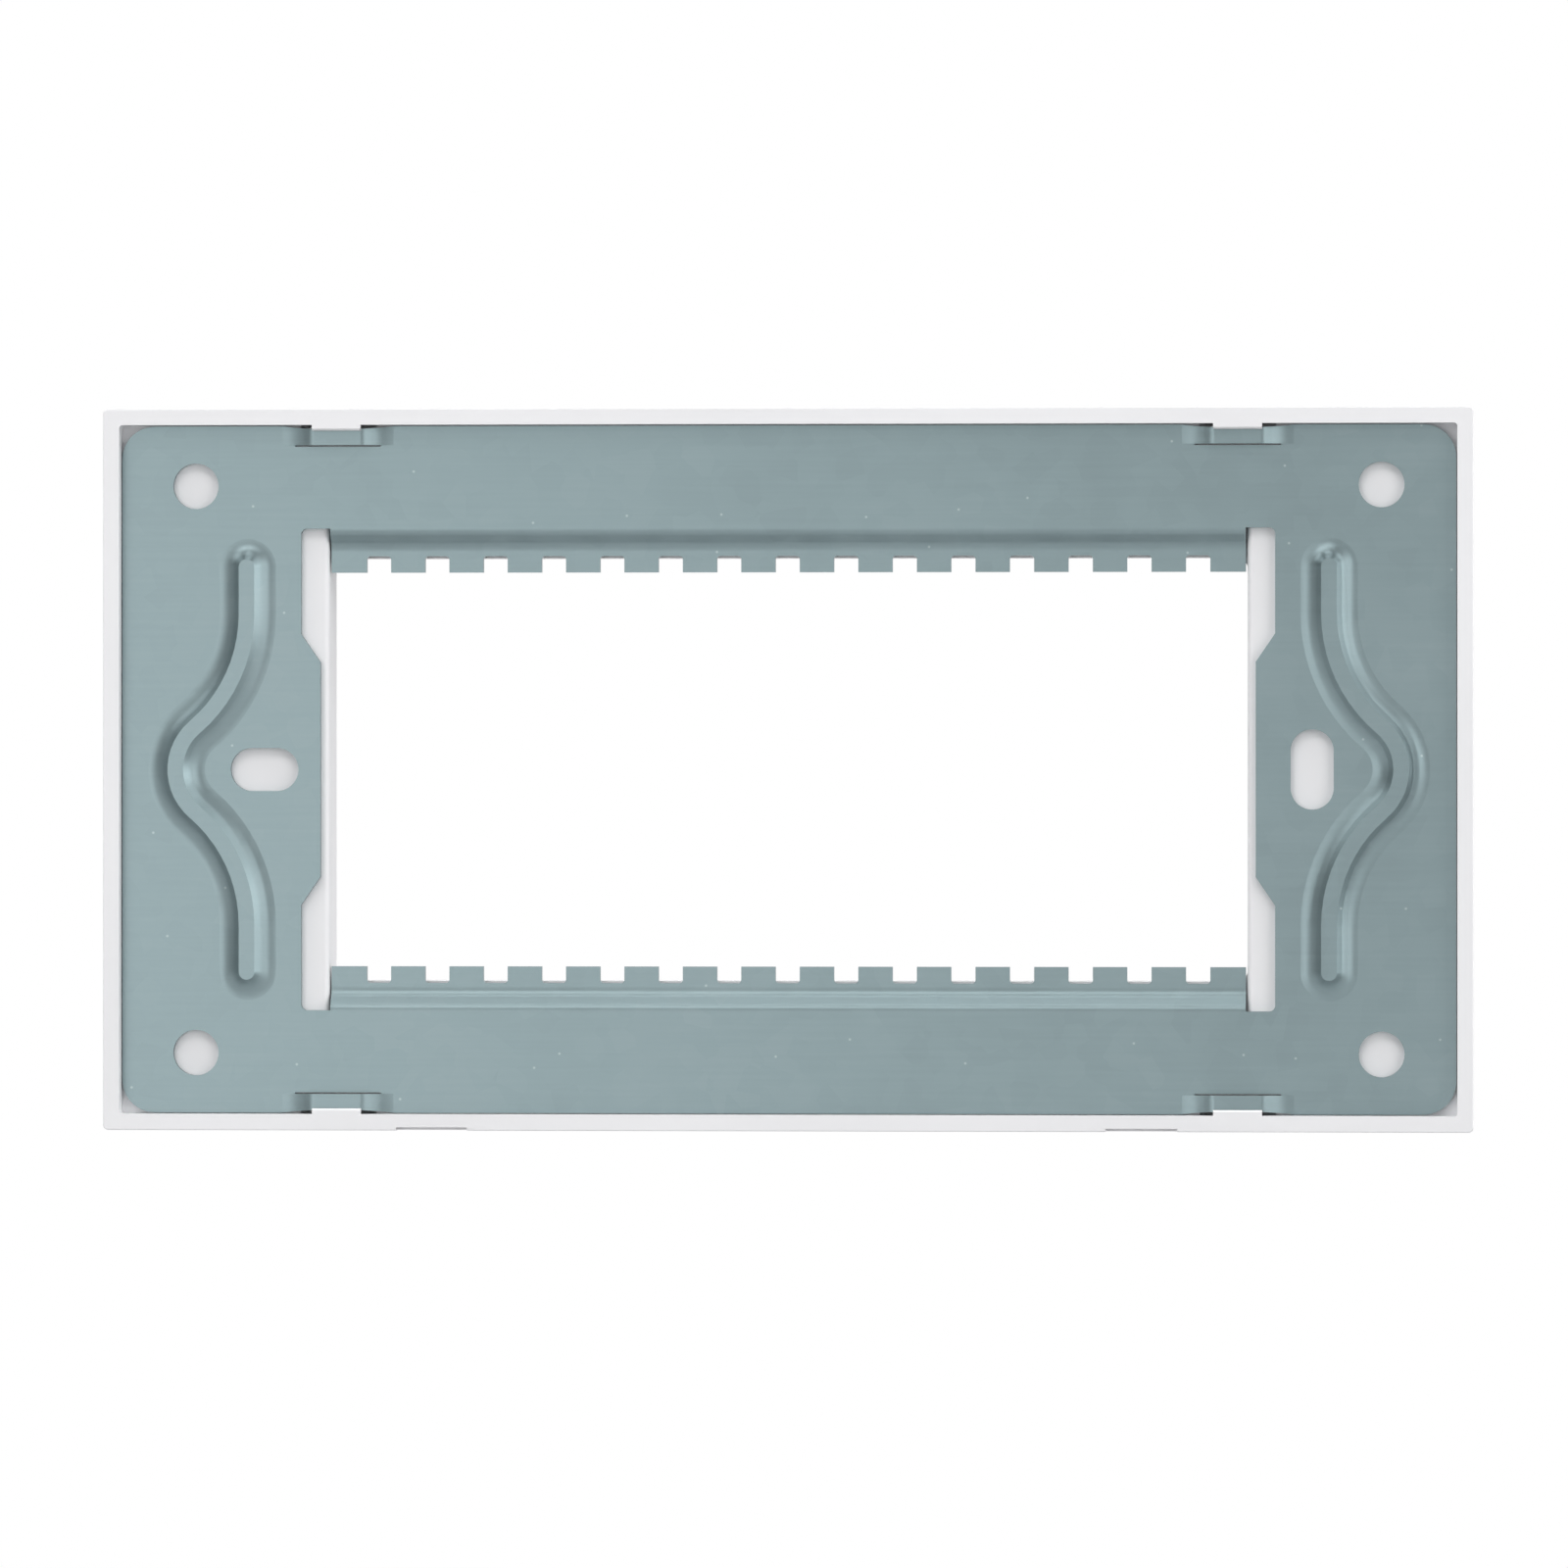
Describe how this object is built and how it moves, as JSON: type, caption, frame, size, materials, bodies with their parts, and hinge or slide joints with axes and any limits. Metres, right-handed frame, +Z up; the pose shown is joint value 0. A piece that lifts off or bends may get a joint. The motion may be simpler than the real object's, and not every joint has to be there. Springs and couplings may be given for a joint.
{
  "type": "glass cover frame",
  "caption": "Rectangular glass cover frame clipped over a pressed steel wall plate with a comb-edged module window.",
  "frame": {"origin": "centre of the screw pattern on the steel plate's rear face", "axes": "+X along the length, +Z up as fitted on a wall, +Y from the wall towards the room"},
  "size_m": [0.1574, 0.0115, 0.083],
  "materials": {
    "galvanised_steel": "satin galvanised sheet",
    "white_moulding": "fine satin moulding",
    "white_glass": "polished, coated white on its back",
    "adhesive_film": "dark adhesive film"
  },
  "bodies": {
    "root": {"mounting_plate": "galvanised_steel", "cover_carrier": "white_moulding", "glass_panel": "white_glass", "bonding_tape": "adhesive_film"}
  },
  "joints": []
}
